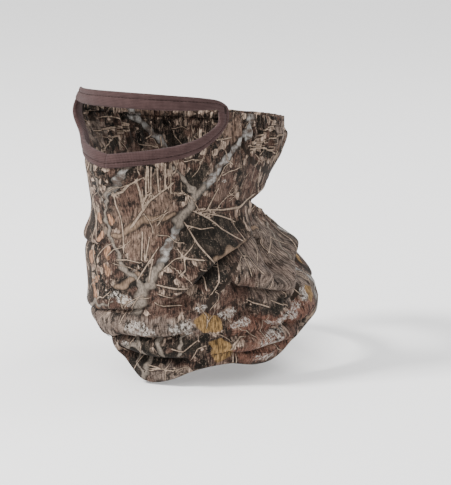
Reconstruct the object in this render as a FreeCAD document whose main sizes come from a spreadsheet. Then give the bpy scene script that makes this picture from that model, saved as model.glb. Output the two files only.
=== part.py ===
import FreeCAD, Part
import Sketcher
import math
import os
from FreeCAD import Vector

# A pull-on camouflage half mask of stretch knit, in the shape it takes when it is worn.
#
# Frame: millimetres, +Z up, -Y the way the wearer looks, +X the wearer's left. The origin is the
# middle of the head space. Round the head an angle of 0 is the nose, 90 the wearer's left side,
# 180 the middle of the back and negative angles the wearer's right side.
#
# The cloth is a tube whose level sections are soft superellipses. Every cloth piece is a closed
# solid between two offsets of that one surface, so hems, bindings and the elastic lie against it.

# Level sections of the tube: name, height, and the half lengths to front, back, left and right.
LEVELS = (
    ("crown", 30, 100, 94, 74, 75),
    ("brow", 12, 101, 94, 75, 76),
    ("temple", -6, 103, 95, 76, 76),
    ("ear", -24, 105, 93, 75, 71),
    ("cheek", -42, 106, 84, 74, 66),
    ("jaw", -58, 106, 68, 69, 64),
    ("nape", -72, 105, 50, 64, 63),
    ("neck", -86, 104, 46, 67, 66),
    ("collar", -102, 105, 70, 82, 71),
    ("yoke", -122, 106, 90, 94, 71),
    ("shoulder", -144, 106, 104, 106, 69),
    ("drape", -166, 104, 108, 112, 67),
    ("chest", -190, 101, 100, 106, 60),
    ("bib", -216, 97, 88, 94, 52),
)

# Edges of the cloth: (angle, height) pairs round the head.
TOP_EDGE = (
    (-180, -12), (-150, -10), (-115, -4.5), (-98, -0.5), (-75, 5), (-52, 10),
    (0, 12),
    (52, 10), (75, 5), (98, -0.5), (115, -4.5), (150, -10), (180, -12),
)
BOTTOM_EDGE = (
    (-180, -168), (-120, -160), (-90, -155), (-60, -157), (-30, -165), (-15, -175),
    (-3, -192), (10, -212), (20, -213), (38, -201), (52, -197), (65, -201),
    (77, -200), (90, -187), (104, -176), (130, -169), (180, -168),
)

# Top of the binding along the eye opening's lower rim, as (angle, height).
LOWER_RIM = (
    (-52, 4), (-50, -4.5), (-46, -11.5), (-39, -15.5), (-27, -17.5), (-16, -18.5), (-7, -20),
    (0, -22),
    (7, -20), (16, -18), (27, -15.5), (39, -10), (46.5, -3), (52, 4),
)

# Upper and lower edge of the opening at the nape, as (angle, height) from each side to the back.
NAPE_TOP = ((86, -70.5), (92, -68.5), (100, -66), (120, -63), (150, -60), (180, -59))
NAPE_FOOT = ((86, -72.5), (92, -76), (100, -80), (120, -85), (150, -89), (180, -90))

# Plan of the brow strap's middle line, right temple to left temple: (sideways, forward, height).
STRAP_LINE = (
    (-75, -44, 14), (-75, -50, 14), (-73.4, -57, 14.4), (-66.8, -66.5, 16), (-53.4, -81.5, 18.5),
    (-30, -97.5, 21), (0, -102.8, 22),
    (30, -97.5, 21), (54, -81, 18.5), (67.5, -66, 16), (72.8, -57, 14.4), (73.8, -50, 14),
    (73.8, -44, 14),
)

# Other driving dimensions: alias, value, note.
DIMENSIONS = (
    ("squareness", 2.15, "exponent of the level sections, 2 is an ellipse"),
    ("nose_rise", 15, "how far the nose lifts the cloth"),
    ("nose_height", -34, "height of the middle of the nose"),
    ("nose_angle", 17, "half width of the nose, degrees"),
    ("nose_reach", 26, "half height of the nose"),
    ("gap_rise", 9, "how far the cloth stands off the right temple"),
    ("gap_angle", -51, "where it stands off, degrees"),
    ("gap_spread", 16, "half width of that place, degrees"),
    ("gap_height", -9, "height of its middle"),
    ("gap_reach", 14, "half height of that place"),
    ("tuck_depth", 18, "how far the cloth falls in below the right of the chin"),
    ("tuck_angle", -36, "where it falls in, degrees"),
    ("tuck_spread", 30, "half width of that place, degrees"),
    ("tuck_height", -212, "height of its middle"),
    ("tuck_reach", 40, "half height of that place"),
    ("cloth", 1.0, "thickness of the knit"),
    ("ply", 0.8, "thickness of a turned hem or casing"),
    ("clearance", 0.35, "space left between neighbouring layers"),
    ("seam_slit", 0.15, "half the space between two joined edges, degrees"),
    ("seam_width", 1.6, "width of a seam's overlocked ridge, degrees"),
    ("seam_depth", 3.5, "how far that ridge stands into the mask"),
    ("rim_height", 11.5, "height of the eye opening's lower binding"),
    ("rim_end", 50.2, "angle at which the lower binding meets the side binding"),
    ("side_front", 51.5, "angle of the side binding's front fold"),
    ("side_width", 7.5, "width of the side binding, degrees"),
    ("side_top", 18, "height of the side binding's top end"),
    ("side_foot", 4.2, "height of the side binding's lower end"),
    ("strap_height", 12.5, "height of the folded brow strap"),
    ("strap_thick", 2.0, "thickness of the folded brow strap"),
    ("casing_height", 9, "height of the elastic's casing"),
    ("elastic_height", 6, "height of the flat elastic"),
    ("elastic_thick", 1.2, "thickness of the flat elastic"),
    ("elastic_start", 61, "angle at which the elastic is sewn in, degrees"),
    ("hem_height", 12, "height of the turned bottom hem"),
    ("nape_hem", 8, "height of the turned hems at the nape opening"),
    ("stitch_length", 3.6, "length of one stitch"),
    ("stitch_pitch", 6, "distance from one stitch to the next"),
    ("thread", 0.4, "thickness of the thread"),
    ("tack_length", 8, "length of a bar tack"),
    ("tack_width", 2.4, "width of a bar tack"),
    ("tack_thick", 0.6, "thickness of a bar tack"),
    ("label_width", 18, "width of the care label"),
    ("label_length", 24, "length of the care label"),
    ("label_thick", 0.4, "thickness of the care label"),
)

SIDES = (("left", 1), ("right", -1))

doc = FreeCAD.newDocument("camo_face_mask")
sheet = doc.addObject("Spreadsheet::Sheet", "dimensions")
finished = []


def write_sheet():
    """Put every driving dimension into the spreadsheet under its own alias."""
    cells = list(DIMENSIONS)
    for name, height, front, back, left, right in LEVELS:
        sizes = (("level", height), ("front", front), ("back", back), ("left", left), ("right", right))
        for part, value in sizes:
            cells.append((name + "_" + part, value, part + " of the " + name + " section"))
    for row, (alias, value, note) in enumerate(cells, start=1):
        sheet.set("A%d" % row, note)
        sheet.set("B%d" % row, str(value))
        sheet.setAlias("B%d" % row, alias)
    doc.recompute()


def size(alias):
    """A driving dimension, read back from the spreadsheet."""
    return float(getattr(sheet, alias))


def smooth_value(stations, place):
    """Value at a place, on a cubic through (place, value) stations in rising order."""
    last = len(stations) - 1
    place = min(max(place, stations[0][0]), stations[last][0])
    index = 0
    while index < last - 1 and place > stations[index + 1][0]:
        index += 1

    def slope(k):
        before = stations[max(k - 1, 0)]
        after = stations[min(k + 1, last)]
        return (after[1] - before[1]) / (after[0] - before[0])

    (start, low), (end, high) = stations[index], stations[index + 1]
    span = end - start
    share = (place - start) / span
    swell = share * share * (3 - 2 * share)
    lift = share * (1 - share) ** 2 * slope(index) - share ** 2 * (1 - share) * slope(index + 1)
    return low + (high - low) * swell + span * lift


def level_stations(part):
    """Height and half length of each level section, lowest first, as the sheet has them."""
    names = [level[0] for level in reversed(LEVELS)]
    return [(size(name + "_level"), size(name + "_" + part)) for name in names]


def bump(value, middle, spread):
    """Bell curve of height 1."""
    return math.exp(-((value - middle) / spread) ** 2)


def reach(angle, height):
    """Distance from the axis of the head to the cloth."""
    turn = math.radians(angle)
    side, ahead = math.sin(turn), math.cos(turn)
    wide = smooth_value(STATIONS["left" if side >= 0 else "right"], height)
    deep = smooth_value(STATIONS["front" if ahead >= 0 else "back"], height)
    power = size("squareness")
    base = (abs(side / wide) ** power + abs(ahead / deep) ** power) ** (-1 / power)
    nose = size("nose_rise") * bump(angle, 0, size("nose_angle"))
    nose *= bump(height, size("nose_height"), size("nose_reach"))
    gap = size("gap_rise") * bump(angle, size("gap_angle"), size("gap_spread"))
    gap *= bump(height, size("gap_height"), size("gap_reach"))
    tuck = size("tuck_depth") * bump(angle, size("tuck_angle"), size("tuck_spread"))
    tuck *= bump(height, size("tuck_height"), size("tuck_reach"))
    return base + nose + gap - tuck


def cloth_point(angle, height, offset=0):
    """Point at an angle and height, an offset outward from the inner side of the cloth."""
    turn = math.radians(angle)
    out = reach(angle, height) + offset
    return Vector(out * math.sin(turn), -out * math.cos(turn), height)


def angle_range(start, end, step):
    """Evenly spaced angles from start to end, about a step apart."""
    count = max(2, int(round(abs(end - start) / step)))
    return [start + (end - start) * k / count for k in range(count + 1)]


def wrap_angles():
    """Angles all the way round the mask, closer together beside the back seam."""
    edge = 180 - size("seam_slit")
    beside = [edge, edge - 0.8, edge - 2.4]
    return [-angle for angle in beside] + angle_range(-174, 174, 4) + beside[::-1]


def closed_solid(faces):
    """Sew faces into one solid with a positive volume."""
    shell = Part.Shell(faces)
    shell.sewShape()
    solid = Part.Solid(shell)
    if solid.Volume < 0:
        solid.reverse()
    return solid


def cloth_patch(angles, bottom, top, rows, inner, outer):
    """Solid of cloth between two offsets, from a bottom edge to a top edge."""
    def skin(offset):
        grid = []
        for angle in angles:
            low, high = bottom(angle), top(angle)
            heights = [low + (high - low) * k / rows for k in range(rows + 1)]
            grid.append([cloth_point(angle, height, offset) for height in heights])
        surface = Part.BSplineSurface()
        surface.interpolate(grid)
        return surface

    def rims(surface):
        first_u, last_u, first_v, last_v = surface.bounds()
        curves = (surface.uIso(first_u), surface.uIso(last_u), surface.vIso(first_v), surface.vIso(last_v))
        return [curve.toShape() for curve in curves]

    inside, outside = skin(inner), skin(outer)
    sides = [Part.makeRuledSurface(a, b) for a, b in zip(rims(inside), rims(outside))]
    return closed_solid([inside.toShape(), outside.toShape()] + sides)


def strip_solid(stations):
    """Solid that runs through section polygons, each a list of points in one plane."""
    count = len(stations[0])
    edges = []
    for index in range(count):
        curve = Part.BSplineCurve()
        curve.interpolate([station[index] for station in stations])
        edges.append(curve.toShape())
    faces = [Part.makeRuledSurface(edges[k], edges[(k + 1) % count]) for k in range(count)]
    for station in (stations[0], stations[-1]):
        faces.append(Part.Face(Part.makePolygon(station + [station[0]])))
    return closed_solid(faces)


def leaf(offset, start, end):
    """One face of a layer, as (offset, place) from start to end in a few even steps."""
    steps = 6
    return [(offset, start + (end - start) * k / steps) for k in range(steps + 1)]


def flat_strip(angles, low, high, inner, outer):
    """Strip that lies along the cloth between two heights and two offsets."""
    stations = []
    for angle in angles:
        corners = leaf(outer, low(angle), high(angle)) + leaf(inner, high(angle), low(angle))
        stations.append([cloth_point(angle, height, offset) for offset, height in corners])
    return strip_solid(stations)


def add_feature(label, shape):
    """A sub-part whose shape is worked out above from the sheet."""
    feature = doc.addObject("Part::Feature", label)
    feature.Label = label
    feature.Shape = shape
    finished.append(feature)
    return feature


def top_edge(angle):
    return smooth_value(TOP_EDGE, angle)


def bottom_edge(angle):
    return smooth_value(BOTTOM_EDGE, angle)


def nape_top(angle):
    return smooth_value(NAPE_TOP, abs(angle))


def nape_foot(angle):
    return smooth_value(NAPE_FOOT, abs(angle))


def rim_top(angle):
    return smooth_value(LOWER_RIM, angle)


def rim_foot(angle):
    return rim_top(angle) - size("rim_height")


def cutters():
    """Solids that open the eye hole and the nape hole in the panels."""
    deep, lid, fold = 9, 60, size("ply") + 3 * size("clearance")
    end, tip = size("side_front") + 0.5, NAPE_TOP[0][0]
    shapes = {
        "eye_cutter": cloth_patch(
            angle_range(-end, end, 1.5), lambda a: rim_top(a) - fold, lambda a: lid, 6, -deep, deep),
        "nape_cutter": cloth_patch(
            angle_range(tip, 360 - tip, 6), lambda a: nape_foot(back_angle(a)),
            lambda a: nape_top(back_angle(a)), 2, -deep, deep),
    }
    made = {}
    for label, shape in shapes.items():
        made[label] = doc.addObject("Part::Feature", label)
        made[label].Shape = shape
    return made


def back_angle(angle):
    """The same direction as an angle between -180 and 180."""
    return angle - 360 if angle > 180 else angle


def add_cut(label, base, tool):
    """Boolean cut that keeps its two operands in the document."""
    cut = doc.addObject("Part::Cut", label)
    cut.Label = label
    cut.Base = base
    cut.Tool = tool
    doc.recompute()
    return cut


def add_panel():
    """The camouflage panel, wrapped round the head and joined at the back, with its openings."""
    tools = cutters()
    cloth = doc.addObject("Part::Feature", "uncut_panel")
    cloth.Shape = cloth_patch(wrap_angles(), bottom_edge, top_edge, 40, 0, size("cloth"))
    open_front = add_cut("open_front_panel", cloth, tools["eye_cutter"])
    finished.append(add_cut("mask_panel", open_front, tools["nape_cutter"]))


def add_seam(label, middle, high, low):
    """Overlocked ridge that stands into the mask where the panel's two edges meet."""
    half = size("seam_width") / 2
    near = -2 * size("clearance")
    rows = 24
    stations = []
    for k in range(rows + 1):
        height = high + (low - high) * k / rows
        corners = ((-half, near), (half, near), (half, -size("seam_depth")), (-half, -size("seam_depth")))
        stations.append([cloth_point(back_angle(middle + turn), height, offset) for turn, offset in corners])
    add_feature(label, strip_solid(stations))


def add_seams():
    """Back seam above the nape opening and below it."""
    gap = 1.0
    casing, hem, nape = size("casing_height"), size("hem_height"), size("nape_hem")
    add_seam("back_seam_upper", 180, top_edge(180) - casing - gap, nape_top(180) + nape + gap)
    add_seam("back_seam_lower", 180, nape_foot(180) - nape - gap, bottom_edge(180) + hem + gap)


def add_lower_bindings():
    """Folded brown strips round the lower rim of the eye opening, joined over the nose."""
    ply, clear, cloth = size("ply"), size("clearance"), size("cloth")
    inner, inner_face = -clear - ply, -clear
    outer_face, outer = cloth + clear, cloth + clear + ply
    for side, sign in SIDES:
        stations = []
        for angle in angle_range(sign * size("seam_slit"), sign * size("rim_end"), 1.5):
            foot, top = rim_foot(angle), rim_top(angle)
            fold = top - ply - clear
            corners = leaf(inner_face, foot, fold) + leaf(outer_face, fold, foot)
            corners += leaf(outer, foot, top) + leaf(inner, top, foot)
            stations.append([cloth_point(angle, height, offset) for offset, height in corners])
        add_feature("eye_binding_lower_" + side, strip_solid(stations))


def add_side_bindings():
    """Folded brown strips up the two ends of the eye opening."""
    ply, clear, cloth = size("ply"), size("clearance"), size("cloth")
    inner, inner_face = -clear - ply, -clear
    outer_face, outer = cloth + clear, cloth + clear + ply
    front = size("side_front") - 0.8
    back, fold = front + size("side_width"), front + 0.6
    corners = leaf(inner_face, back, fold) + leaf(outer_face, fold, back)
    corners += leaf(outer, back, front) + leaf(inner, front, back)
    rows = 8
    for side, sign in SIDES:
        stations = []
        for k in range(rows + 1):
            height = size("side_foot") + (size("side_top") - size("side_foot")) * k / rows
            stations.append([cloth_point(sign * turn, height, offset) for offset, turn in corners])
        add_feature("eye_binding_side_" + side, strip_solid(stations))


def add_brow_strap():
    """Folded brown strap across the brow, with a flat tab at each temple."""
    half, thick = size("strap_height") / 2, size("strap_thick") / 2
    centres = [Vector(*place) for place in STRAP_LINE]
    stations = []
    for index, centre in enumerate(centres):
        along = centres[min(index + 1, len(centres) - 1)] - centres[max(index - 1, 0)]
        along.z = 0
        along.normalize()
        out = Vector(-along.y, along.x, 0) * thick
        up = Vector(0, 0, half)
        stations.append([centre - out - up, centre + out - up, centre + out + up, centre - out + up])
    add_feature("brow_strap", strip_solid(stations))


def add_casings():
    """Elastic round the back of the head, and the turned casing that holds it."""
    clear, ply = size("clearance"), size("ply")
    outer = -clear
    inner = outer - size("elastic_thick")
    start = size("elastic_start")
    band = size("elastic_height")
    drop = (size("casing_height") - band) / 2
    round_back = [back_angle(a) for a in angle_range(start, 360 - start, 4)]
    add_feature("back_elastic", flat_strip(
        round_back, lambda a: top_edge(a) - drop - band, lambda a: top_edge(a) - drop, inner, outer))
    layer = inner - clear
    for side, sign in SIDES:
        angles = angle_range(sign * start, sign * (180 - size("seam_slit")), 5)
        add_feature("back_casing_" + side, flat_strip(
            angles, lambda a: top_edge(a) - size("casing_height"), lambda a: top_edge(a) - clear,
            layer - ply, layer))


def add_hems():
    """Turned hems inside the bottom edge and inside the nape opening."""
    outer = -size("clearance")
    inner = outer - size("ply")
    slit, tip, hem = size("seam_slit"), NAPE_TOP[0][0] + 6, size("nape_hem")
    edge = 0.3
    add_feature("bottom_hem", flat_strip(
        wrap_angles(), lambda a: bottom_edge(a) + edge,
        lambda a: bottom_edge(a) + size("hem_height"), inner, outer))
    for side, sign in SIDES:
        behind = angle_range(sign * tip, sign * (180 - slit), 5)
        add_feature("nape_hem_upper_" + side, flat_strip(
            behind, lambda a: nape_top(a) + edge, lambda a: nape_top(a) + hem, inner, outer))
        add_feature("nape_hem_lower_" + side, flat_strip(
            behind, lambda a: nape_foot(a) - hem, lambda a: nape_foot(a) - edge, inner, outer))


def stitch(start, end, out):
    """One straight stitch: a short thread between two points, lying on its outward side."""
    thread = size("thread")
    along = (end - start).normalize()
    out = (out - along * out.dot(along)).normalize()
    across = out.cross(along)
    matrix = FreeCAD.Matrix(
        along.x, across.x, out.x, start.x, along.y, across.y, out.y, start.y,
        along.z, across.z, out.z, start.z, 0, 0, 0, 1)
    box = Part.makeBox(size("stitch_length"), thread, thread, Vector(0, -thread / 2, 0))
    box.Placement = FreeCAD.Placement(matrix)
    return box


def stitch_row(line, outward, count):
    """Stitches at an even pitch along a line, given as points for shares from 0 to 1."""
    points = [line(k / count) for k in range(count + 1)]
    length = sum((b - a).Length for a, b in zip(points, points[1:]))
    number = int(length / size("stitch_pitch"))
    row = []
    for k in range(number):
        share = (k + 0.3) / number
        step = size("stitch_length") / length
        start, end = line(share), line(share + step)
        row.append(stitch(start, end, outward(share)))
    return row


def cloth_row(start, end, height, offset):
    """Row of stitches on the cloth between two angles, at a height for each angle."""
    def turn(share):
        return back_angle(start + (end - start) * share)

    def line(share):
        return cloth_point(turn(share), height(turn(share)), offset)

    def outward(share):
        angle = math.radians(turn(share))
        return Vector(math.sin(angle), -math.cos(angle), 0)

    return stitch_row(line, outward, 60)


def add_stitching():
    """Rows of thread on the bindings, the casing and the hems."""
    lift = 0.4
    on_cloth = size("cloth") + lift
    on_binding = size("cloth") + size("clearance") + size("ply") + lift
    sewn = 3
    rim_end, start, tip = size("rim_end") - 2, size("elastic_start") + 1, NAPE_TOP[0][0] + 8
    rows = {
        "eye_binding_stitching": cloth_row(-rim_end, rim_end, lambda a: rim_foot(a) + sewn, on_binding),
        "casing_stitching": cloth_row(
            start, 360 - start, lambda a: top_edge(a) - size("casing_height") + 1, on_cloth),
        "bottom_hem_stitching": cloth_row(
            -179, 179, lambda a: bottom_edge(a) + size("hem_height") - 1.5, on_cloth),
        "nape_stitching": cloth_row(
            tip, 360 - tip, lambda a: nape_top(a) + size("nape_hem") - 1.5, on_cloth) + cloth_row(
            tip, 360 - tip, lambda a: nape_foot(a) - size("nape_hem") + 1.5, on_cloth),
    }
    for label, row in rows.items():
        add_feature(label, Part.makeCompound(row))
    add_feature("brow_strap_stitching", Part.makeCompound(strap_row()))


def strap_row():
    """Row of stitches a third of the way down the brow strap."""
    lift, above = size("strap_thick") / 2 + 0.15, size("strap_height") / 6
    curve = Part.BSplineCurve()
    curve.interpolate([Vector(*place) for place in STRAP_LINE])
    first, last = curve.FirstParameter, curve.LastParameter
    margin = 0.05

    def parameter(share):
        return first + (last - first) * (margin + (1 - 2 * margin) * share)

    def outward(share):
        along = curve.tangent(parameter(share))[0]
        return Vector(along.y, -along.x, 0).normalize()

    def line(share):
        return curve.value(parameter(share)) + outward(share) * lift + Vector(0, 0, above)

    return stitch_row(line, outward, 60)


def add_bar_tacks():
    """Dense block of thread at each temple, where the strap is sewn down."""
    for side, sign in SIDES:
        label = "bar_tack_" + side
        tack = doc.addObject("Part::Box", label)
        tack.Label = label
        tack.setExpression("Length", "dimensions.tack_thick")
        tack.setExpression("Width", "dimensions.tack_width")
        tack.setExpression("Height", "dimensions.tack_length")
        centre = STRAP_LINE[-2 if sign > 0 else 1]
        out = size("strap_thick") / 2 + size("clearance")
        face = centre[0] + sign * out - (size("tack_thick") if sign < 0 else 0)
        corner = Vector(face, centre[1] - size("tack_width") / 2, centre[2] - size("tack_length") / 2)
        tack.Placement = FreeCAD.Placement(corner, FreeCAD.Rotation())
        finished.append(tack)


def add_care_label():
    """Blank care label that hangs inside the back, beside the seam."""
    body = doc.addObject("PartDesign::Body", "care_label")
    body.Label = "care_label"
    plane = next(item for item in body.Origin.OriginFeatures if item.Role == "XY_Plane")
    outline = body.newObject("Sketcher::SketchObject", "label_outline")
    outline.AttachmentSupport = [(plane, "")]
    outline.MapMode = "FlatFace"
    wide, long = size("label_width"), size("label_length")
    corners = [Vector(0, 0, 0), Vector(wide, 0, 0), Vector(wide, long, 0), Vector(0, long, 0)]
    for index in range(4):
        outline.addGeometry(Part.LineSegment(corners[index], corners[(index + 1) % 4]), False)
    for index in range(4):
        outline.addConstraint(Sketcher.Constraint("Coincident", index, 2, (index + 1) % 4, 1))
    for index in (0, 2):
        outline.addConstraint(Sketcher.Constraint("Horizontal", index))
    for index in (1, 3):
        outline.addConstraint(Sketcher.Constraint("Vertical", index))
    outline.addConstraint(Sketcher.Constraint("Coincident", 0, 1, -1, 1))
    width = outline.addConstraint(Sketcher.Constraint("DistanceX", 0, 1, 0, 2, wide))
    length = outline.addConstraint(Sketcher.Constraint("DistanceY", 1, 1, 1, 2, long))
    outline.setExpression("Constraints[%d]" % width, "dimensions.label_width")
    outline.setExpression("Constraints[%d]" % length, "dimensions.label_length")
    pad = body.newObject("PartDesign::Pad", "label_pad")
    pad.Profile = outline
    pad.setExpression("Length", "dimensions.label_thick")
    doc.recompute()
    beside, inset = 5, 3.4
    top = cloth_point(178, top_edge(180) - size("casing_height") - 1, -inset)
    foot = cloth_point(178, top.z - long, -inset)
    slope = math.degrees(math.atan2(foot.y - top.y, top.z - foot.z))
    body.Placement = FreeCAD.Placement(
        Vector(beside, foot.y, foot.z), FreeCAD.Rotation(Vector(1, 0, 0), 90 + slope))
    finished.append(body)


def check_model():
    """Stop if any object failed to build or any sub-part isn't a valid solid."""
    for item in doc.Objects:
        if "Invalid" in item.State or "Error" in item.State:
            raise RuntimeError("failed object " + item.Label)
    for item in finished:
        shape = item.Shape
        if shape.isNull() or not shape.isValid() or shape.Volume <= 0:
            raise RuntimeError("bad shape " + item.Label)


def write_parts():
    """Write each sub-part to its own STEP file."""
    os.makedirs("parts", exist_ok=True)
    for item in finished:
        item.Shape.exportStep("parts/" + item.Label + ".step")


write_sheet()
STATIONS = {part: level_stations(part) for part in ("front", "back", "left", "right")}
add_panel()
add_seams()
add_lower_bindings()
add_side_bindings()
add_brow_strap()
add_casings()
add_hems()
add_stitching()
add_bar_tacks()
add_care_label()
doc.recompute()
check_model()
write_parts()
for item in finished:
    print(item.Label, len(item.Shape.Solids), round(item.Shape.Volume, 1))
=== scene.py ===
import math

import bpy
import numpy as np
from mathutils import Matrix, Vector


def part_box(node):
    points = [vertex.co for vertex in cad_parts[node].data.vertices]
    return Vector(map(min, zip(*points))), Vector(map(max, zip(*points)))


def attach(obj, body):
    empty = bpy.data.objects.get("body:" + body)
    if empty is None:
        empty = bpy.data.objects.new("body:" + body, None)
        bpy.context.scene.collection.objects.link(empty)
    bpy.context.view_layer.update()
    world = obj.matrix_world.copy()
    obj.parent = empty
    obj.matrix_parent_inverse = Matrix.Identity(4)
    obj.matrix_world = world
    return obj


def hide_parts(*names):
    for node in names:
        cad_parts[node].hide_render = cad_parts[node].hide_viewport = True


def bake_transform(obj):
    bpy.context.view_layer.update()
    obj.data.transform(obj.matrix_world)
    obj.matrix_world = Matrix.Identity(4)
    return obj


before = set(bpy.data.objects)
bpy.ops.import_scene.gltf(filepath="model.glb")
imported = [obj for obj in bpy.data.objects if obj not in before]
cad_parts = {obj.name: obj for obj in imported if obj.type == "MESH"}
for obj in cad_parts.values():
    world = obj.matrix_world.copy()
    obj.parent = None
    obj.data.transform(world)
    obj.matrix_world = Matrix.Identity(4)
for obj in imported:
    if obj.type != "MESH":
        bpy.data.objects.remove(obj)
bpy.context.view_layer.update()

# A camouflage half mask of stretch knit in its worn shape. Lengths are worked out in millimetres
# and turned into metres when a mesh is made. An angle of 0 is the nose, 90 the wearer's left side,
# 180 the middle of the back, and negative angles are the wearer's right side.

MM = 0.001
ARC = 1.66          # millimetres of cloth for one degree round the mask
CLOTH = 0.8         # thickness of the knit
STEP = 1.4          # spacing of the cloth's mesh
RIM_BAND = 11.5     # height of the binding along the lower rim
THREAD = 0.5        # thickness of the sewing thread
PITCH = 3.0         # from one stitch to the next
STITCH = 2.1        # length of a stitch on the bands
HEM_STITCH = 2.2    # length of a stitch on the hems
BAND_STEP = 1.6     # spacing of the rings of a band
RIM_GROOVE, STRAP_GROOVE = 0.67, 0.65   # where the stitching lies across a band, as a share of it
RIM_SEWING, STRAP_SEWING, TACK_SEWING, HEM_SEWING = 2.15, 2.3, 3.0, 0.95    # offsets of the threads
TACK_PITCH, TACK_STITCH, TACK_LEAN = 0.55, 0.4, 1.1     # a bar tack is a close zigzag
PUCKER_BACK, PUCKER_RIM, PUCKER_NAPE = 4.2, 0.8, 1.3    # how far the gathers stand out

# The stage, in metres, degrees and watts.
FLOOR_HEIGHT = -0.216
CAMERA_DISTANCE, CAMERA_AZIMUTH, CAMERA_ELEVATION = 1.8, 32, 8
AIM_RIGHT, AIM_UP = 0.0338, -0.1132     # middle of the picture, from the origin
LENS = 156.3
SKY = 1.6
LAMP_TARGET = Vector((0, 0, -0.1))
LAMPS = (   # name, place, size, power, warmth
    ("key", (-1.2, -1.3, 1.7), 0.5, 105, 0.3),
    ("fill", (1.7, -1.0, 0.7), 1.2, 3, 0.0),
    ("rim", (0.6, 1.6, 1.3), 0.8, 12, 0.0),
)

# Level sections of the tube: height, and the half lengths to front, back, left and right.
LEVELS = np.array((
    (-216, 97, 88, 94, 52), (-190, 101, 100, 106, 60), (-166, 104, 108, 112, 67),
    (-144, 106, 104, 106, 69), (-122, 106, 90, 94, 71), (-102, 105, 71, 82, 71),
    (-86, 104, 51, 68, 66), (-72, 105, 56, 67, 63), (-58, 106, 68, 69, 64),
    (-42, 106, 84, 74, 66), (-24, 105, 93, 75, 71), (-6, 103, 95, 76, 76),
    (12, 101, 94, 75, 76), (30, 100, 94, 74, 75),
), float)
SQUARENESS = 2.15

# Bulges of the tube: rise, angle, spread in degrees, height, reach.
NOSE = (15, 0, 17, -34, 26)
TEMPLE_GAP = (8, -50, 14, 2, 16)
CHIN_TUCK = (-18, -36, 30, -212, 40)

# Edges of the cloth as (angle, height).
TOP_EDGE = ((-180, -12), (-150, -10), (-115, -4.5), (-98, -0.5), (-75, 5), (-52, 10), (0, 12),
            (52, 10), (75, 5), (98, -0.5), (115, -4.5), (150, -10), (180, -12))
BOTTOM_EDGE = ((-180, -168), (-120, -160), (-90, -155), (-60, -157), (-30, -165), (-15, -175),
               (-3, -192), (10, -212), (20, -213), (38, -201), (52, -197), (65, -201),
               (77, -200), (90, -187), (104, -176), (130, -169), (180, -168))
LOWER_RIM = ((-52, 4), (-50, -4.5), (-46, -11.5), (-39, -15.5), (-27, -17.5), (-16, -18.5), (-7, -20),
             (0, -22), (7, -20), (16, -18), (27, -15.5), (39, -10), (46.5, -3), (52, 4))
NAPE_TOP = ((86, -70.5), (92, -68.5), (100, -66), (120, -63), (150, -60), (180, -59))
NAPE_FOOT = ((86, -72.5), (92, -76), (100, -80), (120, -85), (150, -89), (180, -90))
NAPE_TIP = 86       # where the nape opening begins
SIDE_FRONT = 50.6   # where the upright edges of the eye opening stand
RISE = 8.0          # degrees that the mesh gives to each upright edge

# Creases: line of (angle, height) points, depth, width, lip, lip width, droop of the lip.
# The lip is on the left of the line's direction: above it on a line that runs to larger angles.
CREASES = (
    (((-75, -156), (-45, -158), (-22, -157), (-2, -151), (12, -149), (18, -147)), 9, 2.1, 4, 6, 4),
    (((18, -147), (28, -143), (38, -136)), 3, 2.5, 2, 6, 1),
    (((-20, -178), (-6, -176), (1, -172), (14, -172), (20, -171), (30, -168), (35, -165)),
     10, 2.3, 4, 7, 4),
    (((-3, -185), (4, -188), (10, -190.5), (17, -192), (35, -191.5)), 13, 3.0, 3, 6, 2),
    (((20, -145), (38, -117), (46, -106.5), (54, -101), (64, -96), (83, -90)), 15, 3.6, 9, 12, 7),
    (((50, -126), (60, -130), (72, -135), (84, -140)), 13, 2.6, 7, 6, 5),
    (((73, -130), (75.5, -114), (80, -98)), 14, 3.2, 6, 6, 5),
    (((83, -155), (86, -146), (88.5, -136), (92.5, -128), (104, -123), (124, -120)), 17, 3.6, 6, 8, 5),
    (((78, -170), (78, -158), (81, -146)), 8, 2.5, 4, 4, 2),
    (((60, -144), (62, -157), (68, -162), (75, -169)), 5, 2.0, 2, 4, 2),
    (((38, -179), (52, -173.5), (64, -171), (75, -170), (100, -173)), 6, 1.8, 0, 4, 0),
    (((48, -185), (62, -184.5), (70, -181.5), (78, -181), (92, -183)), 8, 2.0, 4, 6, 4),
    (((-62, -104), (-40, -103), (-19, -102), (-8, -100), (-2, -99)), 4, 2.4, 1.5, 6, 1),
    (((-96, -102), (-78, -106), (-60, -116), (-46, -134)), 9, 2.8, 5, 9, 5),
    (((-112, -130), (-92, -136), (-72, -140), (-56, -150)), 9, 2.8, 4, 8, 4),
    (((-172, -124), (-150, -130), (-128, -126), (-108, -116)), 9, 2.8, 5, 9, 5),
    (((118, -146), (140, -142), (158, -136), (174, -128)), 8, 2.8, 4, 9, 4),
    (((-176, -150), (-150, -147), (-124, -150), (-104, -156)), 6, 2.4, 3, 7, 3),
)

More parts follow.
